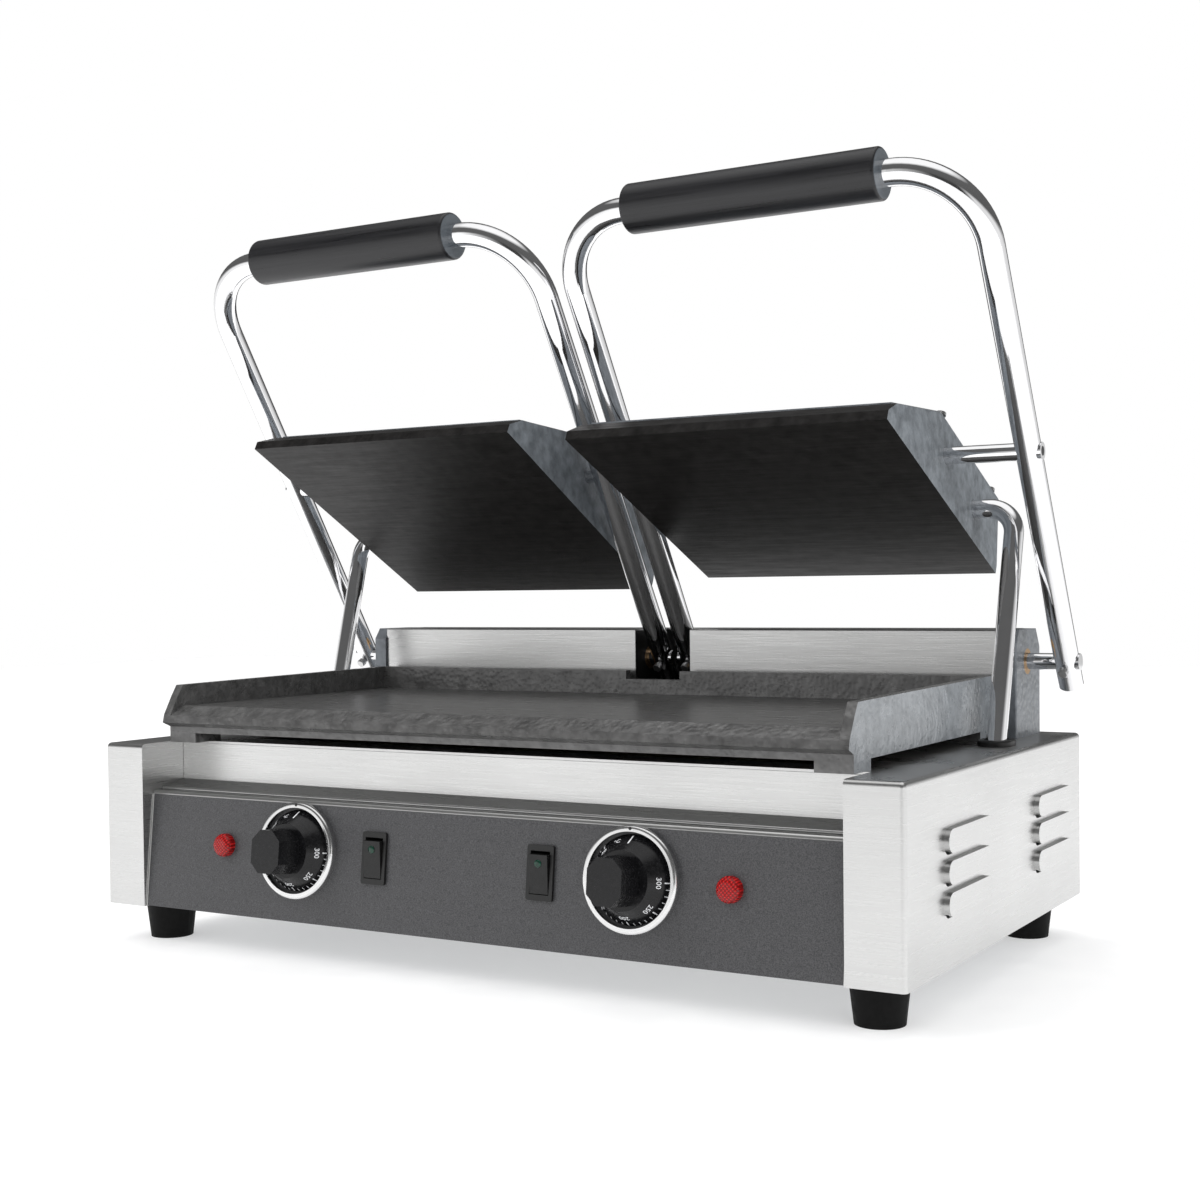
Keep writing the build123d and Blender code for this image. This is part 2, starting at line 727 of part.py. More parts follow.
# Rigid conduit: swivels in the plate's outer side and slides down through a collar in the top
leftConduitSpot = leftPlateSpot * Location((0, conduitPinY, conduitPinZ))
rightConduitSpot = rightPlateSpot * Location((0, conduitPinY, conduitPinZ))


def conduitAt(spot, side, lean, length):
    centre = Vector(side * conduitX, spot.position.Y, spot.position.Z)
    with BuildPart() as tube:
        with BuildLine() as path:
            FilletPolyline(
                (side * (conduitX - upperX - cavityHalfWidth) * -1, 0, 0),
                (0, 0, 0),
                (0, 0, -length),
                radius=conduitBend,
            )
        with BuildSketch(Plane(origin=path.line @ 0, z_dir=path.line % 0)):
            Circle(conduitRadius)
            Circle(conduitRadius - conduitWall, mode=Mode.SUBTRACT)
        sweep()
    return tube.part.moved(Location(centre, (-lean, 0, 0)))


keep(conduitAt(leftConduitSpot, -1, leftConduitLean, leftConduitLength), "left_conduit")
keep(conduitAt(rightConduitSpot, 1, rightConduitLean, rightConduitLength), "right_conduit")

with BuildPart() as conduitCollar:
    with BuildSketch(Plane.XY.offset(bodyTop)):
        with Locations((conduitX, conduitY + collarShift)):
            SlotOverall(collarLength, collarWidth, rotation=90)
            SlotOverall(collarSlotLength, collarSlotWidth, rotation=90, mode=Mode.SUBTRACT)
    extrude(amount=collarHeight)
    fillet(conduitCollar.faces().sort_by(Axis.Z)[-1].outer_wire().edges(), 1.5)
keep(mirror(conduitCollar.part, about=Plane.YZ), "left_conduit_collar")
keep(conduitCollar.part, "right_conduit_collar")

# Controls, once for each side
for side, name in ((-1, "left"), (1, "right")):
    knobPlane = onPanel(side * knobX, controlHeight)
    lampPlane = onPanel(side * lampX, controlHeight - 0.6)
    switchPlane = onPanel(side * switchX, controlHeight - 0.6)

    with BuildPart() as bezel:
        with BuildSketch(knobPlane):
            Circle(bezelRadius)
            Circle(bezelInnerRadius, mode=Mode.SUBTRACT)
        extrude(amount=bezelHeight)
        fillet(bezel.faces().sort_by(Axis.Y)[0].outer_wire().edges(), 2.0)
    keep(bezel.part, f"{name}_knob_bezel")

    with BuildPart() as knob:
        with BuildSketch(knobPlane.offset(skirtBase)):
            Circle(skirtRadius)
        with BuildSketch(knobPlane.offset(skirtBase + skirtHeight)):
            Circle(skirtTopRadius)
        loft()
        with BuildSketch(knobPlane.offset(skirtBase + 2)) as gripShape:
            Rectangle(gripWidth, gripLength)
            chamfer(gripShape.vertices(), gripCorner)
        extrude(amount=knobHeight - skirtBase - 2, taper=1.5)
        with BuildSketch(knobPlane):
            Circle(shaftRadius + 0.05)
        extrude(amount=knobHeight - 8, mode=Mode.SUBTRACT)
    keep(knob.part, f"{name}_knob")

    with BuildPart() as shaft:
        with BuildSketch(knobPlane.offset(-thermostatBack - 12)):
            Circle(shaftRadius)
        extrude(amount=thermostatBack + 12 + knobHeight - 9)
    keep(shaft.part, f"{name}_thermostat_shaft")

    with BuildPart() as thermostat:
        with BuildSketch(knobPlane.offset(-thermostatBack)):
            Rectangle(thermostatSize[0], thermostatSize[1])
        extrude(amount=-thermostatSize[2])
        with BuildSketch(knobPlane.offset(-thermostatBack)):
            Circle(shaftRadius + 1.8)
        extrude(amount=thermostatBack - 0.3)
        with BuildSketch(knobPlane):
            Circle(shaftRadius + runningFit)
        extrude(amount=-thermostatBack - 13, mode=Mode.SUBTRACT)
    keep(thermostat.part, f"{name}_thermostat")

    with BuildPart() as lens:
        with BuildSketch(lampPlane):
            Circle(lampRadius)
        extrude(amount=lampProud)
        fillet(lens.edges().filter_by(GeomType.CIRCLE).sort_by(Axis.Y)[0], 4.0)
    keep(lens.part, f"{name}_lamp_lens")

    with BuildPart() as lampHolder:
        with BuildSketch(lampPlane):
            Circle(lampBodyRadius)
        extrude(amount=-lampDepth)
    keep(lampHolder.part, f"{name}_lamp_holder")

    with BuildPart() as switchFrame:
        with BuildSketch(switchPlane):
            RectangleRounded(switchWidth, switchLength, 1.5)
        extrude(amount=switchProud)
        with BuildSketch(switchPlane):
            Rectangle(switchWidth - 3, switchLength - 3)
        extrude(amount=-switchDepth)
        with BuildSketch(switchPlane.offset(switchProud)):
            Rectangle(rockerWidth + 0.8, rockerLength + 1.2)
        extrude(amount=-switchProud - 9, mode=Mode.SUBTRACT)
    keep(switchFrame.part, f"{name}_switch_frame")

    rockerPlane = Plane(origin=switchPlane.from_local_coords(Vector(0, 0, -3)), x_dir=(1, 0, 0),
                        z_dir=(0, -cos(radians(panelLean + rockerTilt)), sin(radians(panelLean + rockerTilt))))
    with BuildPart() as rocker:
        with BuildSketch(rockerPlane.offset(-3)):
            Rectangle(rockerWidth, rockerLength - 1.2)
        extrude(amount=9.5)
    keep(rocker.part, f"{name}_rocker")

# Supply side: terminal block, cable gland and the screws of the rear sheet
with BuildPart() as terminalBlock:
    with BuildSketch(Plane.XY.offset(bodyBottom + sheet)):
        with Locations((80, backY - 60)):
            Rectangle(70, 26)
    extrude(amount=20)
    with BuildSketch(Plane.XY.offset(bodyBottom + sheet + 20)):
        with Locations((80, backY - 60)):
            with GridLocations(13, 12, 5, 2):
                Circle(3)
    extrude(amount=-8, mode=Mode.SUBTRACT)
keep(terminalBlock.part, "terminal_block")

glandZ = bodyBottom + 40
with BuildPart() as cableGland:
    with BuildSketch(Plane.XZ.offset(-backY)):
        with Locations((0, glandZ)):
            Circle(13)
    extrude(amount=-6)
    with BuildSketch(Plane.XZ.offset(-backY)):
        with Locations((0, glandZ)):
            Circle(8.9)
    extrude(amount=16)
    with BuildSketch(Plane.XZ.offset(-backY - 6)):
        with Locations((0, glandZ)):
            Circle(4.6)
    extrude(amount=22, mode=Mode.SUBTRACT)
keep(cableGland.part, "cable_gland")
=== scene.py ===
import json
import math
from types import SimpleNamespace

import bmesh
import bpy
from mathutils import Matrix, Vector


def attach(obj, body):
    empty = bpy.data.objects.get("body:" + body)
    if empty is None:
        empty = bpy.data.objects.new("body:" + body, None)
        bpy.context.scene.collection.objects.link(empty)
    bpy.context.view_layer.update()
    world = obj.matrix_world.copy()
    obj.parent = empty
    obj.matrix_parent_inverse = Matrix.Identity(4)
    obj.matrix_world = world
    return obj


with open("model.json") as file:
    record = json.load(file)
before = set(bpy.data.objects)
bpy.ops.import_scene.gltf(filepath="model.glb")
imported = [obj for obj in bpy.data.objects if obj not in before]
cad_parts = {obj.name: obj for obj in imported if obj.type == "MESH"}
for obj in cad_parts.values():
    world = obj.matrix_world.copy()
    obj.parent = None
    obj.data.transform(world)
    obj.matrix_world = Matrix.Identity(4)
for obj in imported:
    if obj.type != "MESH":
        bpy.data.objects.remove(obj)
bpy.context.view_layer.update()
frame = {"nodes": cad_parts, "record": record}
print("stage: frame loaded")

# Materials. Each one is a short chain of procedural nodes, kept in a graph

noiseBand = (0.3, 0.7)  # where most of a noise texture's values lie
fineBump = 0.0002


def greys(*levels):
    return [(level, level, level) for level in levels]


def feed(graph, socket, value):
    # value is another node's output, a number, a colour or a vector
    if isinstance(value, bpy.types.NodeSocket):
        graph.links.new(value, socket)
    else:
        socket.default_value = value


def addNode(graph, kind, inputs=None, **modes):
    # modes are set first, then inputs, each by its socket's name or number
    node = graph.nodes.new("ShaderNode" + kind)
    for mode, value in modes.items():
        setattr(node, mode, value)
    for key, value in (inputs or {}).items():
        feed(graph, node.inputs[key], value)
    return node


def newGraph(name):
    material = bpy.data.materials.new(name)
    material.use_nodes = True
    tree = material.node_tree
    graph = SimpleNamespace(material=material, nodes=tree.nodes, links=tree.links)
    graph.shader = tree.nodes["Principled BSDF"]
    graph.coord = addNode(graph, "TexCoord")
    return graph


def finished(graph, inputs):
    for key, value in inputs.items():
        feed(graph, graph.shader.inputs[key], value)
    return graph.material


def scaled(graph, scale=(1, 1, 1), rotation=(0, 0, 0)):
    inputs = {"Vector": graph.coord.outputs["Object"], "Scale": scale, "Rotation": rotation}
    return addNode(graph, "Mapping", inputs).outputs["Vector"]


def axisOf(graph, output, axis):
    # output is Normal for where a face looks, or Object for its place
    return addNode(graph, "SeparateXYZ", {"Vector": graph.coord.outputs[output]}).outputs[axis]


def calc(graph, operation, *values):
    return addNode(graph, "Math", dict(enumerate(values)), operation=operation).outputs[0]


def awayFrom(graph, output, axis):
    return calc(graph, "ABSOLUTE", axisOf(graph, output, axis))


def noiseOn(graph, vector, scale, detail=3.0, roughness=0.5):
    inputs = {"Vector": vector, "Scale": scale, "Detail": detail, "Roughness": roughness}
    return addNode(graph, "TexNoise", inputs).outputs["Fac"]


def streaksOn(graph, stretch, roughness=0.6):
    # Fine noise drawn out along the axis with the smallest stretch
    return noiseOn(graph, scaled(graph, stretch), 1.0, 4.0, roughness)


def cloudOn(graph, scale, detail=3.0):
    return noiseOn(graph, scaled(graph, (scale, scale, scale)), 1.0, detail)


def pebblesOn(graph, vector, scale):
    inputs = {"Vector": vector, "Scale": scale}
    return addNode(graph, "TexVoronoi", inputs, feature="SMOOTH_F1").outputs["Distance"]


def rampOn(graph, factor, stops):
    ramp = addNode(graph, "ValToRGB", {"Fac": factor})
    row = ramp.color_ramp.elements
    while len(row) < len(stops):
        row.new(1.0)
    for element, (place, colour) in zip(row, stops):
        element.position = place
        element.color = (*colour, 1)
    return ramp.outputs["Color"]


def tintOn(graph, factor, low, high, band=noiseBand):
    return rampOn(graph, factor, ((band[0], low), (band[1], high)))


def rangeOn(graph, value, band, low=0.0, high=1.0):
    inputs = {"Value": value, "From Min": band[0], "From Max": band[1], "To Min": low, "To Max": high}
    return addNode(graph, "MapRange", inputs).outputs["Result"]


def spreadOn(graph, noise, middle, spread):
    # Lets a value vary round its middle; spread is the shares of the middle at both ends
    return rangeOn(graph, noise, noiseBand, middle * spread[0], middle * spread[1])


def mixColour(graph, factor, first, second):
    return addNode(graph, "Mix", {"Factor": factor, 6: first, 7: second}, data_type="RGBA").outputs[2]


def mixNumber(graph, factor, first, second):
    return addNode(graph, "Mix", {"Factor": factor, 2: first, 3: second}, data_type="FLOAT").outputs[0]


def bumpOn(graph, height, strength, distance):
    bump = addNode(graph, "Bump", {"Height": height, "Strength": strength, "Distance": distance})
    feed(graph, graph.shader.inputs["Normal"], bump.outputs["Normal"])


brushedLook = {"cloud": 9, "spread": (0.82, 1.2)}
polishedLook = {"cloud": 40, "spread": (0.7, 1.4)}
pebbledLook = {"cloudShare": 0.35, "spread": (0.85, 1.15)}
plasticLook = {"spread": (0.85, 1.2)}


def metalBrushed(name, dark, light, rough, stretch, strength=0.12):
    graph = newGraph(name)
    grain = streaksOn(graph, stretch)
    cloud = cloudOn(graph, brushedLook["cloud"], 2.0)
    bumpOn(graph, grain, strength, fineBump)
    return finished(graph, {
        "Base Color": tintOn(graph, cloud, dark, light),
        "Roughness": spreadOn(graph, grain, rough, brushedLook["spread"]),
        "Metallic": 1.0,
    })


def metalPolished(name, dark, light, rough):
    graph = newGraph(name)
    cloud = cloudOn(graph, polishedLook["cloud"])
    return finished(graph, {
        "Base Color": tintOn(graph, cloud, dark, light),
        "Roughness": spreadOn(graph, cloud, rough, polishedLook["spread"]),
        "Metallic": 1.0,
    })


def pebbled(name, dark, light, rough, scale, strength, distance, metallic):
    graph = newGraph(name)
    vector = scaled(graph)
    cloud = noiseOn(graph, vector, scale * pebbledLook["cloudShare"])
    bumpOn(graph, pebblesOn(graph, vector, scale), strength, distance)
    return finished(graph, {
        "Base Color": tintOn(graph, cloud, dark, light),
        "Roughness": spreadOn(graph, cloud, rough, pebbledLook["spread"]),
        "Metallic": metallic,
    })


def plasticLike(name, dark, light, rough, scale=300.0, strength=0.05, sheen=0.5):
    graph = newGraph(name)
    fine = noiseOn(graph, scaled(graph), scale)
    bumpOn(graph, fine, strength, fineBump)
    return finished(graph, {
        "Base Color": tintOn(graph, fine, dark, light),
        "Roughness": spreadOn(graph, fine, rough, plasticLook["spread"]),
        "Specular IOR Level": sheen,
    })


lensLook = {
    "ribScale": 190.0,
    "band": (0.05, 0.8),
    "rough": 0.2,
    "sheen": 0.3,
    "coat": 0.3,
    "bump": (0.7, 0.0006),
}


def diamondLens(name, deep, bright):
    # Two crossed rows of ribs under a clear coat
    graph = newGraph(name)
    rows = []
    for turn in (math.radians(45), math.radians(-45)):
        inputs = {"Vector": scaled(graph, rotation=(0, turn, 0)), "Scale": lensLook["ribScale"]}
        rows.append(addNode(graph, "TexWave", inputs, wave_profile="TRI").outputs["Fac"])
    crossed = calc(graph, "MULTIPLY", *rows)
    bumpOn(graph, crossed, *lensLook["bump"])
    return finished(graph, {
        "Base Color": tintOn(graph, crossed, deep, bright, lensLook["band"]),
        "Roughness": lensLook["rough"],
        "Specular IOR Level": lensLook["sheen"],
        "Coat Weight": lensLook["coat"],
    })


ironLook = {
    "pebbleScale": 330.0,
    "cloudScale": 120.0,
    "grainStretch": (30, 260, 260),
    "grainShare": 0.35,
    "spread": (0.85, 1.15),
    "facingX": (0.7, 0.8),
    "lowerFromX": (0.2435, 0.2455),  # the lower plate's outer sides start here
    "levelBand": 0.05,
    "bump": (0.55, 0.0007),
}


def upperSides(graph):
    return rangeOn(graph, awayFrom(graph, "Normal", "X"), ironLook["facingX"])


def lowerSides(graph):
    outside = rangeOn(graph, awayFrom(graph, "Object", "X"), ironLook["lowerFromX"])
    return calc(graph, "MULTIPLY", outside, upperSides(graph))


def castIron(name, findSides, dark, light, sideDark, sideLight, rough, smoothZ, sheen):
    # Dark enamel, with hammered blue-grey on the outer sides; faces level beyond smoothZ have no pebbles
    graph = newGraph(name)
    vector = scaled(graph)
    cloud = noiseOn(graph, vector, ironLook["cloudScale"])
    grain = streaksOn(graph, ironLook["grainStretch"])
    body = tintOn(graph, cloud, dark, light)
    flank = tintOn(graph, cloud, sideDark, sideLight)
    level = rangeOn(graph, awayFrom(graph, "Normal", "Z"), (smoothZ, smoothZ + ironLook["levelBand"]))
    cells = pebblesOn(graph, vector, ironLook["pebbleScale"])
    low = calc(graph, "MULTIPLY", grain, ironLook["grainShare"])
    bumpOn(graph, mixNumber(graph, level, cells, low), *ironLook["bump"])
    return finished(graph, {
        "Base Color": mixColour(graph, findSides(graph), body, flank),
        "Roughness": spreadOn(graph, grain, rough, ironLook["spread"]),
        "Specular IOR Level": sheen,
    })


panelLook = {
    "endX": (0.2498, 0.25),
    "topZ": (0.0996, 0.0998),
    "speckle": 1500.0,
    "band": (0.35, 0.65),
    "steel": (0.72, 0.72, 0.71),
    "coatRough": (0.36, 0.5),
    "steelRough": 0.28,
    "bump": (0.25, 0.00015),
}


def panelSheet(name, dark, light):
    # Charcoal coat with the bare steel edge left at its top and its two ends
    graph = newGraph(name)
    speckle = noiseOn(graph, scaled(graph), panelLook["speckle"])
    coat = tintOn(graph, speckle, dark, light, panelLook["band"])
    bare = tintOn(graph, speckle, panelLook["steel"], panelLook["steel"])
    ends = rangeOn(graph, awayFrom(graph, "Object", "X"), panelLook["endX"])
    top = rangeOn(graph, axisOf(graph, "Object", "Z"), panelLook["topZ"])
    steel = calc(graph, "MAXIMUM", ends, top)
    coatRough = rangeOn(graph, speckle, noiseBand, *panelLook["coatRough"])
    bumpOn(graph, speckle, *panelLook["bump"])
    return finished(graph, {
        "Base Color": mixColour(graph, steel, coat, bare),
        "Metallic": mixNumber(graph, steel, 0.0, 1.0),
        "Roughness": mixNumber(graph, steel, coatRough, panelLook["steelRough"]),
    })


gripLook = {
    "stretch": (14, 500, 500),
    "streakRough": 0.65,
    "cut": (0.85, 0.95),
    "rough": (0.26, 0.42),
    "bump": 0.12,
}


def gripSleeve(name, dark, light, sawnDark, sawnLight):
    # Turned plastic: fine streaks along the grip, paler sawn ends
    graph = newGraph(name)
    streak = streaksOn(graph, gripLook["stretch"], gripLook["streakRough"])
    cut = rangeOn(graph, awayFrom(graph, "Normal", "X"), gripLook["cut"])
    skin = tintOn(graph, streak, dark, light)
    sawn = tintOn(graph, streak, sawnDark, sawnLight)
    bumpOn(graph, streak, gripLook["bump"], fineBump)
    return finished(graph, {
        "Base Color": mixColour(graph, cut, skin, sawn),
        "Roughness": rangeOn(graph, streak, noiseBand, *gripLook["rough"]),
    })


# Looks by material slot. The first two colours of each are its darkest and its lightest
looks = {
    "stainless": metalBrushed("stainlessSatin", (0.6, 0.6, 0.595), (0.66, 0.66, 0.655), 0.3,
                              (30, 30, 2600), 0.05),
    "galvanised": metalBrushed("zincSheet", (0.42, 0.44, 0.46), (0.55, 0.57, 0.58), 0.45, (60, 60, 60)),
    "bronze": metalBrushed("bushBronze", (0.4, 0.25, 0.12), (0.52, 0.34, 0.18), 0.4, (80, 80, 80)),
    "element_steel": metalBrushed("elementSteel", (0.16, 0.14, 0.12), (0.3, 0.28, 0.26), 0.45, (90, 90, 90)),
    "spring_steel": metalBrushed("springSteel", *greys(0.2, 0.32), 0.35, (90, 90, 90)),
    "screw_steel": metalBrushed("screwSteel", *greys(0.5, 0.62), 0.3, (90, 90, 90)),
    "chrome": metalPolished("chromeTube", (0.84, 0.84, 0.85), (0.9, 0.9, 0.91), 0.05),
    "satin_bezel": metalPolished("bezelSatin", *greys(0.72, 0.8), 0.2),
    "cast_plate": castIron("castUpper", upperSides, (0.006, 0.0055, 0.0052), (0.016, 0.015, 0.0145),
                           (0.1, 0.112, 0.124), (0.2, 0.22, 0.24), 0.42, 0.6, 0.2),
    "cast_grey": pebbled("hammeredGrey", (0.12, 0.132, 0.145), (0.2, 0.215, 0.235), 0.34,
                         260.0, 0.6, 0.0008, 0.35),
    "panel_dark": panelSheet("panelCharcoal", (0.028, 0.028, 0.03), (0.075, 0.075, 0.079)),
    "rubber": plasticLike("footRubber", *greys(0.003, 0.008), 0.6, sheen=0.12),
    "bracket_black": plasticLike("bracketBlack", *greys(0.003, 0.008), 0.45),
    "wool": plasticLike("mineralWool", (0.45, 0.43, 0.34), (0.66, 0.63, 0.52), 0.95, 220.0, 0.8),
    "ceramic": plasticLike("ceramicBody", (0.66, 0.63, 0.57), (0.78, 0.75, 0.69), 0.5),
    "black_plastic": plasticLike("plasticBlack", *greys(0.004, 0.01), 0.38),
    "rocker_black": plasticLike("rockerBlack", *greys(0.004, 0.01), 0.22, sheen=0.35),
    "knob_black": plasticLike("knobBlack", (0.003, 0.003, 0.0035), (0.009, 0.009, 0.01), 0.24,
                              600.0, 0.06, 0.35),
    "grip_black": gripSleeve("gripBlack", (0.006, 0.006, 0.007), (0.016, 0.016, 0.018),
                             (0.08, 0.092, 0.104), (0.1, 0.115, 0.13)),
    "lamp_red": diamondLens("lampRed", (0.16, 0.001, 0.001), (0.62, 0.012, 0.012)),
}
# The lower plate's enamel and sides are painted paler than the upper ones: a painted sheen standing in for
# the glancing reflection on its face
paintedSheenLooks = {
    "lower_plate": castIron("castLowerPaintedSheen", lowerSides, (0.045, 0.0445, 0.044), (0.095, 0.094, 0.093),
                            (0.16, 0.175, 0.19), (0.26, 0.28, 0.3), 0.3, 0.9, 1.0),
}
nodeSlot = {row["node"]: row["material_slot"] for row in frame["record"]["subparts"]}
for nodeName, nodeObject in frame["nodes"].items():
    nodeObject.data.materials.clear()
    nodeObject.data.materials.append(paintedSheenLooks.get(nodeName, looks[nodeSlot[nodeName]]))
print("stage: materials")

# Panel directions, shared by everything that stands on the control panel

panel = {"lean": math.radians(6.1), "foot": Vector((0, -0.15198, 0.0256)), "controlUp": 0.045}


def leaning(angle):
    # The ways up and out of a face that leans back by this angle
    up = Vector((0, math.sin(angle), math.cos(angle)))
    return up, Vector((0, -math.cos(angle), math.sin(angle)))


panelRight = Vector((1, 0, 0))
panelUp, panelOut = leaning(panel["lean"])


def onPanel(x, up, out=0.0):
    return panel["foot"] + panelRight * x + panelUp * up + panelOut * out


def pieceFrom(name, work, look, body):
    bmesh.ops.recalc_face_normals(work, faces=work.faces)
    mesh = bpy.data.meshes.new(name)
    work.to_mesh(mesh)
    work.free()
    mesh.materials.append(look)
    piece = bpy.data.objects.new(name, mesh)
    bpy.context.collection.objects.link(piece)
    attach(piece, body)
    return piece


def turned(work, spot, axis, profile, segments=24):
    # Revolves (radius, height) pairs round the axis; the first and last radius are 0
    axis = axis.normalized()
    across = axis.orthogonal().normalized()
    other = axis.cross(across)
    rings = []
    for radius, height in profile:
        if radius == 0:
            rings.append([work.verts.new(spot + axis * height)])
            continue
        ring = []
        for step in range(segments):
            angle = 2 * math.pi * step / segments
            outward = across * math.cos(angle) + other * math.sin(angle)
            ring.append(work.verts.new(spot + axis * height + outward * radius))
        rings.append(ring)
    for low, high in zip(rings, rings[1:]):
        for step in range(segments):
            after = (step + 1) % segments
            corners = [low[step % len(low)], low[after % len(low)]]
            corners += [high[after % len(high)], high[step % len(high)]]
            unique = list(dict.fromkeys(corners))
            if len(unique) > 2:
                work.faces.new(unique)


# Dial marks: ticks, numbers and the pointer line, wrapped on the skirt of each dial

dial = {
    "x": 0.1214,
    "radius": 0.0255,
    "topRadius": 0.017,
    "base": 0.0015,
    "height": 0.012,
    "degreesPerTen": 9.0,
    "firstTen": 5,
    "lastTen": 30,
    "numbers": (50, 100, 150, 200, 250, 300),
    "letterSize": 0.0044,
    "letterFoot": 0.0092,
    "unitAngle": -20,
    "unitFoot": 0.007,
    "tickStart": 0.0006,
    "tickLong": 0.0036,
    "tickShort": 0.0022,
    "tickWidth": 0.0005,
    "longWider": 1.5,
    "pointer": {"angle": math.radians(2), "width": 0.0008, "start": 0.0016, "end": 0.0085},
    "proud": 0.00008,
    "sunk": 0.00012,
}
bezelDot = {
    "up": 0.02875,
    "out": 0.0055,
    "profile": ((0, -0.0003), (0.001, -0.0003), (0.001, 0.00006), (0.0008, 0.00012), (0, 0.00014)),
}
dialSlant = math.hypot(dial["radius"] - dial["topRadius"], dial["height"])
dialIn = (dial["radius"] - dial["topRadius"]) / dialSlant
dialRise = dial["height"] / dialSlant


def onSkirt(centre, angle, slant, lift):
    # slant is measured up the skirt from its rim, lift at right angles to it
    radius = dial["radius"] - dialIn * slant + dialRise * lift
    out = dial["base"] + dialRise * slant + dialIn * lift
    across = panelRight * (radius * math.sin(angle))
    up = panelUp * (radius * math.cos(angle))
    return centre + across + up + panelOut * out


def addTick(work, centre, angle, width, start, end):
    corners = []
    for lift in (-dial["sunk"], dial["proud"]):
        for slant, side in ((start, -1), (start, 1), (end, 1), (end, -1)):
            swing = side * width / 2 / (dial["radius"] - dialIn * slant)
            corners.append(work.verts.new(onSkirt(centre, angle + swing, slant, lift)))
    for face in ((0, 1, 2, 3), (4, 5, 6, 7), (0, 1, 5, 4), (1, 2, 6, 5), (2, 3, 7, 6), (3, 0, 4, 7)):
        work.faces.new([corners[index] for index in face])


def addLetters(work, centre, angle, text, foot):
    curve = bpy.data.curves.new("dialLetters", "FONT")
    curve.body = text
    curve.size = dial["letterSize"]
    curve.align_x = "CENTER"
    curve.resolution_u = 3
    curve.extrude = (dial["proud"] + dial["sunk"]) / 2
    holder = bpy.data.objects.new("dialLetters", curve)
    bpy.context.collection.objects.link(holder)
    bpy.context.view_layer.update()
    flat = bpy.data.meshes.new_from_object(holder.evaluated_get(bpy.context.evaluated_depsgraph_get()))
    middle = (dial["proud"] - dial["sunk"]) / 2
    for vertex in flat.vertices:
        across, high, deep = vertex.co
        slant = foot - high
        swing = across / (dial["radius"] - dialIn * slant)
        vertex.co = onSkirt(centre, angle + swing, slant, deep + middle)
    work.from_mesh(flat)
    bpy.data.objects.remove(holder)
    bpy.data.meshes.remove(flat)
    bpy.data.curves.remove(curve)


markWhite = plasticLike("markWhite", (0.72, 0.73, 0.75), (0.82, 0.83, 0.85), 0.45, 800.0, 0.02)
dotBlack = plasticLike("dotBlack", *greys(0.004, 0.01), 0.4, 800.0, 0.02)
sides = ((-1, "left"), (1, "right"))
for side, name in sides:
    centre = onPanel(side * dial["x"], panel["controlUp"])
    work = bmesh.new()
    for tens in range(dial["firstTen"], dial["lastTen"] + 1):
        long = tens * 10 in dial["numbers"]
        reach = dial["tickLong"] if long else dial["tickShort"]
        width = dial["tickWidth"] * (dial["longWider"] if long else 1.0)
        angle = -math.radians(tens * dial["degreesPerTen"])
        addTick(work, centre, angle, width, dial["tickStart"], dial["tickStart"] + reach)
    for number in dial["numbers"]:
        angle = -math.radians(number / 10 * dial["degreesPerTen"])
        addLetters(work, centre, angle, str(number), dial["letterFoot"])
    addLetters(work, centre, math.radians(dial["unitAngle"]), "\u00b0C", dial["unitFoot"])
    addTick(work, centre, **dial["pointer"])
    pieceFrom(f"{name}DialMarks", work, markWhite, f"{name}_dial")
    work = bmesh.new()
    spot = onPanel(side * dial["x"], panel["controlUp"] + bezelDot["up"], bezelDot["out"])
    turned(work, spot, panelOut, bezelDot["profile"])
    pieceFrom(f"{name}BezelDot", work, dotBlack, "root")
print("stage: dial marks")

# Green tell-tale in the upper half of each rocker. Its profile's radii are shares of the radius

telltale = {
    "x": 0.0606,
    "up": 0.0444,
    "hinge": -0.003,
    "lean": math.radians(-0.9),
    "height": 0.0062,
    "face": 0.0065,
    "radius": 0.0024,
    "profile": ((0, -0.0006), (1, -0.0006), (1, 0.0001), (0.92, 0.0005), (0.6, 0.0008), (0, 0.0009)),
    "segments": 32,
}
rockerUp, rockerOut = leaning(telltale["lean"])
lensGreen = plasticLike("lensGreen", (0.001, 0.014, 0.008), (0.004, 0.05, 0.028), 0.12, 500.0, 0.02)
for side, name in sides:
    spot = onPanel(side * telltale["x"], telltale["up"], telltale["hinge"])
    spot = spot + rockerUp * telltale["height"] + rockerOut * telltale["face"]
    profile = [(telltale["radius"] * share, height) for share, height in telltale["profile"]]
    work = bmesh.new()
    turned(work, spot, rockerOut, profile, telltale["segments"])
    lens = pieceFrom(f"{name}RockerLens", work, lensGreen, f"{name}_switch")
    for face in lens.data.polygons:
        face.use_smooth = True
print("stage: rocker lenses")

# Lock screws at the foot of each arm, and in each pin end a flat dark disc: painted shade for the socket's
# hollow

handle = {
    "x": 0.14975,
    "armX": 0.13825,
    "pivot": Vector((0, 0.13442, 0.183)),
    "open": {"left": math.radians(57.3), "right": math.radians(57.9)},
    "tube": 0.008,
}
lockScrew = {
    "along": -0.001,
    "sunk": 0.001,
    "radius": 0.0032,
    "length": 0.0066,
    # Shares of radius and length
    "profile": ((0, 0), (0.6, 0), (0.6, 0.35), (1, 0.4), (1, 0.9), (0.85, 1), (0, 1)),
}
pinSocketShade = {
    "along": 0.155,
    "proud": 0.0006,
    "profile": ((0, -0.0003), (0.003, -0.0003), (0.003, 0.00004), (0.0026, 0.0001), (0, 0.0001)),
}


def onHandle(name, x, along, away):
    # along is measured from the pivot to the grip, away at right angles to it, to the front and down
    angle = handle["open"][name]
    reach = Vector((0, -math.cos(angle), math.sin(angle)))
    down = Vector((0, -math.sin(angle), -math.cos(angle)))
    return Vector((x, 0, 0)) + handle["pivot"] + reach * along + down * away, down


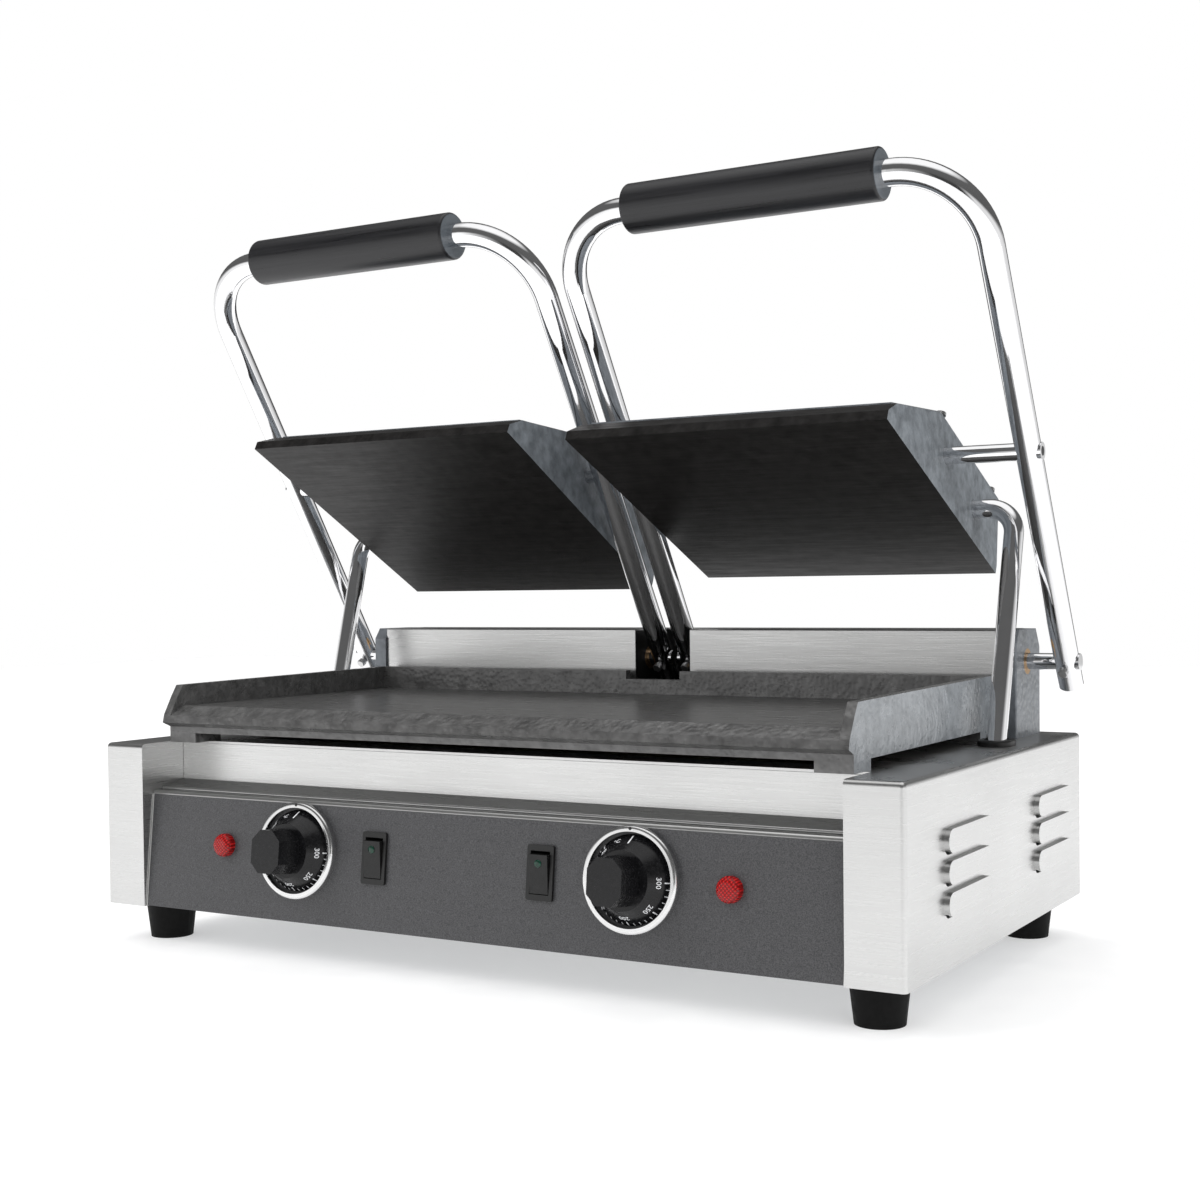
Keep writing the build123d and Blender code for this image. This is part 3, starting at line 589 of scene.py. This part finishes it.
for side, name in sides:
    work = bmesh.new()
    profile = [(lockScrew["radius"] * out, lockScrew["length"] * up) for out, up in lockScrew["profile"]]
    for arm in (-1, 1):
        armX = side * handle["x"] + arm * handle["armX"]
        spot, down = onHandle(name, armX, lockScrew["along"], handle["tube"] - lockScrew["sunk"])
        turned(work, spot, down, profile)
    pieceFrom(f"{name}LockScrews", work, looks["screw_steel"], f"{name}_handle")
    # Flat dark disc on the pin end, painted shade standing in for a socket's hollow
    work = bmesh.new()
    pinEnd = side * (handle["x"] + handle["armX"] + handle["tube"] + pinSocketShade["proud"])
    spot, down = onHandle(name, pinEnd, pinSocketShade["along"], 0)
    turned(work, spot, Vector((side, 0, 0)), pinSocketShade["profile"])
    pieceFrom(f"{name}PinSocketShade", work, dotBlack, f"{name}_handle")
print("stage: screws and sockets")

# Stage: pale floor, and three soft lights that polished pieces don't mirror

floorLook = {
    "size": 8.0,
    "colours": ((0.6, 0.6, 0.605), (0.63, 0.63, 0.63)),
    "rough": 0.7,
    "grain": 40.0,
    "bump": 0.0,
    "sheen": 0.2,
    "glow": 0.4,
}
floorPale = plasticLike("floorPale", *floorLook["colours"], floorLook["rough"], floorLook["grain"],
                        floorLook["bump"], floorLook["sheen"])
bpy.ops.mesh.primitive_plane_add(size=floorLook["size"], location=(0, 0, 0))
floor = bpy.context.object
floor.name = "studioFloor"
floor.data.materials.append(floorPale)
floorShader = floorPale.node_tree.nodes["Principled BSDF"]
floorShader.inputs["Emission Color"].default_value = (1, 1, 1, 1)
floorShader.inputs["Emission Strength"].default_value = floorLook["glow"]

lights = {
    "aim": (0, 0, 0.2),
    "lamps": {
        "keyLight": {"spot": (-1.8, -2.0, 2.2), "size": 1.6, "power": 42},
        "fillLight": {"spot": (2.8, -0.6, 1.6), "size": 1.6, "power": 18},
        "topLight": {"spot": (-0.4, 0.9, 2.6), "size": 2.0, "power": 26},
    },
}
for name, values in lights["lamps"].items():
    data = bpy.data.lights.new(name, "AREA")
    data.energy = values["power"]
    data.size = values["size"]
    lamp = bpy.data.objects.new(name, data)
    bpy.context.collection.objects.link(lamp)
    lamp.location = values["spot"]
    lampAim = Vector(lights["aim"]) - Vector(values["spot"])
    lamp.rotation_euler = lampAim.to_track_quat("-Z", "Y").to_euler()
    lamp.visible_glossy = False

# World: plain white to the eye and for soft light; polished pieces mirror a studio with dark flags.
# around runs once round the studio, ceiling fades it into overhead, which runs up to the zenith

studio = {
    "white": 1.0,
    "around": (
        (0.0, 0.04),
        (0.13, 0.04),
        (0.17, 0.95),
        (0.33, 0.95),
        (0.42, 1.15),
        (0.45, 0.6),
        (0.53, 0.05),
        (0.6, 0.05),
        (0.64, 0.8),
        (0.8, 0.9),
        (0.955, 0.7),
        (0.985, 0.04),
    ),
    "ceiling": ((0.12, 0.0), (0.3, 1.0)),
    "overhead": ((0.0, 0.1), (0.75, 0.12), (0.9, 1.1)),
}


def levelRamp(graph, value, stops):
    return rampOn(graph, value, [(place, (level, level, level)) for place, level in stops])


world = bpy.data.worlds.new("studioWorld")
world.use_nodes = True
bpy.context.scene.world = world
sky = SimpleNamespace(nodes=world.node_tree.nodes, links=world.node_tree.links)
sky.coord = addNode(sky, "TexCoord")
bearing = calc(sky, "ARCTAN2", axisOf(sky, "Generated", "X"),
               calc(sky, "MULTIPLY", axisOf(sky, "Generated", "Y"), -1.0))
turnShare = calc(sky, "ADD", calc(sky, "MULTIPLY", bearing, 1 / (2 * math.pi)), 0.5)
height = axisOf(sky, "Generated", "Z")
mirrored = mixColour(
    sky,
    levelRamp(sky, height, studio["ceiling"]),
    levelRamp(sky, turnShare, studio["around"]),
    levelRamp(sky, height, studio["overhead"]),
)
plainSky = sky.nodes["Background"]
plainSky.inputs["Color"].default_value = (1, 1, 1, 1)
plainSky.inputs["Strength"].default_value = studio["white"]
studioSky = addNode(sky, "Background", {"Color": mirrored})
skyMix = addNode(sky, "MixShader", {
    "Fac": addNode(sky, "LightPath").outputs["Is Glossy Ray"],
    1: plainSky.outputs["Background"],
    2: studioSky.outputs["Background"],
})
feed(sky, sky.nodes["World Output"].inputs["Surface"], skyMix.outputs["Shader"])
bpy.context.scene.view_settings.view_transform = "Standard"

# Camera solved from the housing's corners in the photograph

cameraSolve = {
    "place": (0.5941, -0.97218, 0.2319),
    "yaw": 30.42,
    "pitch": 1.41,
    "roll": -0.62,
    "focal": 1703.5,
    "centre": (612.0, 633.5),
    "frame": 1200.0,
    "sensor": 36.0,
}
yaw, pitch, roll = (math.radians(cameraSolve[key]) for key in ("yaw", "pitch", "roll"))
ahead = Vector((-math.sin(yaw) * math.cos(pitch), math.cos(yaw) * math.cos(pitch), -math.sin(pitch)))
levelRight = Vector((math.cos(yaw), math.sin(yaw), 0))
levelUp = levelRight.cross(ahead)
cameraRight = math.cos(roll) * levelRight + math.sin(roll) * levelUp
cameraUp = -math.sin(roll) * levelRight + math.cos(roll) * levelUp
cameraData = bpy.data.cameras.new("photoCamera")
cameraData.sensor_width = cameraSolve["sensor"]
cameraData.lens = cameraSolve["focal"] / cameraSolve["frame"] * cameraSolve["sensor"]
cameraData.shift_x = (cameraSolve["frame"] / 2 - cameraSolve["centre"][0]) / cameraSolve["frame"]
cameraData.shift_y = (cameraSolve["centre"][1] - cameraSolve["frame"] / 2) / cameraSolve["frame"]
camera = bpy.data.objects.new("photoCamera", cameraData)
bpy.context.collection.objects.link(camera)
turn = Matrix((cameraRight, cameraUp, -ahead)).transposed().to_4x4()
camera.matrix_world = Matrix.Translation(cameraSolve["place"]) @ turn
bpy.context.scene.camera = camera
print("stage: floor, light and camera")
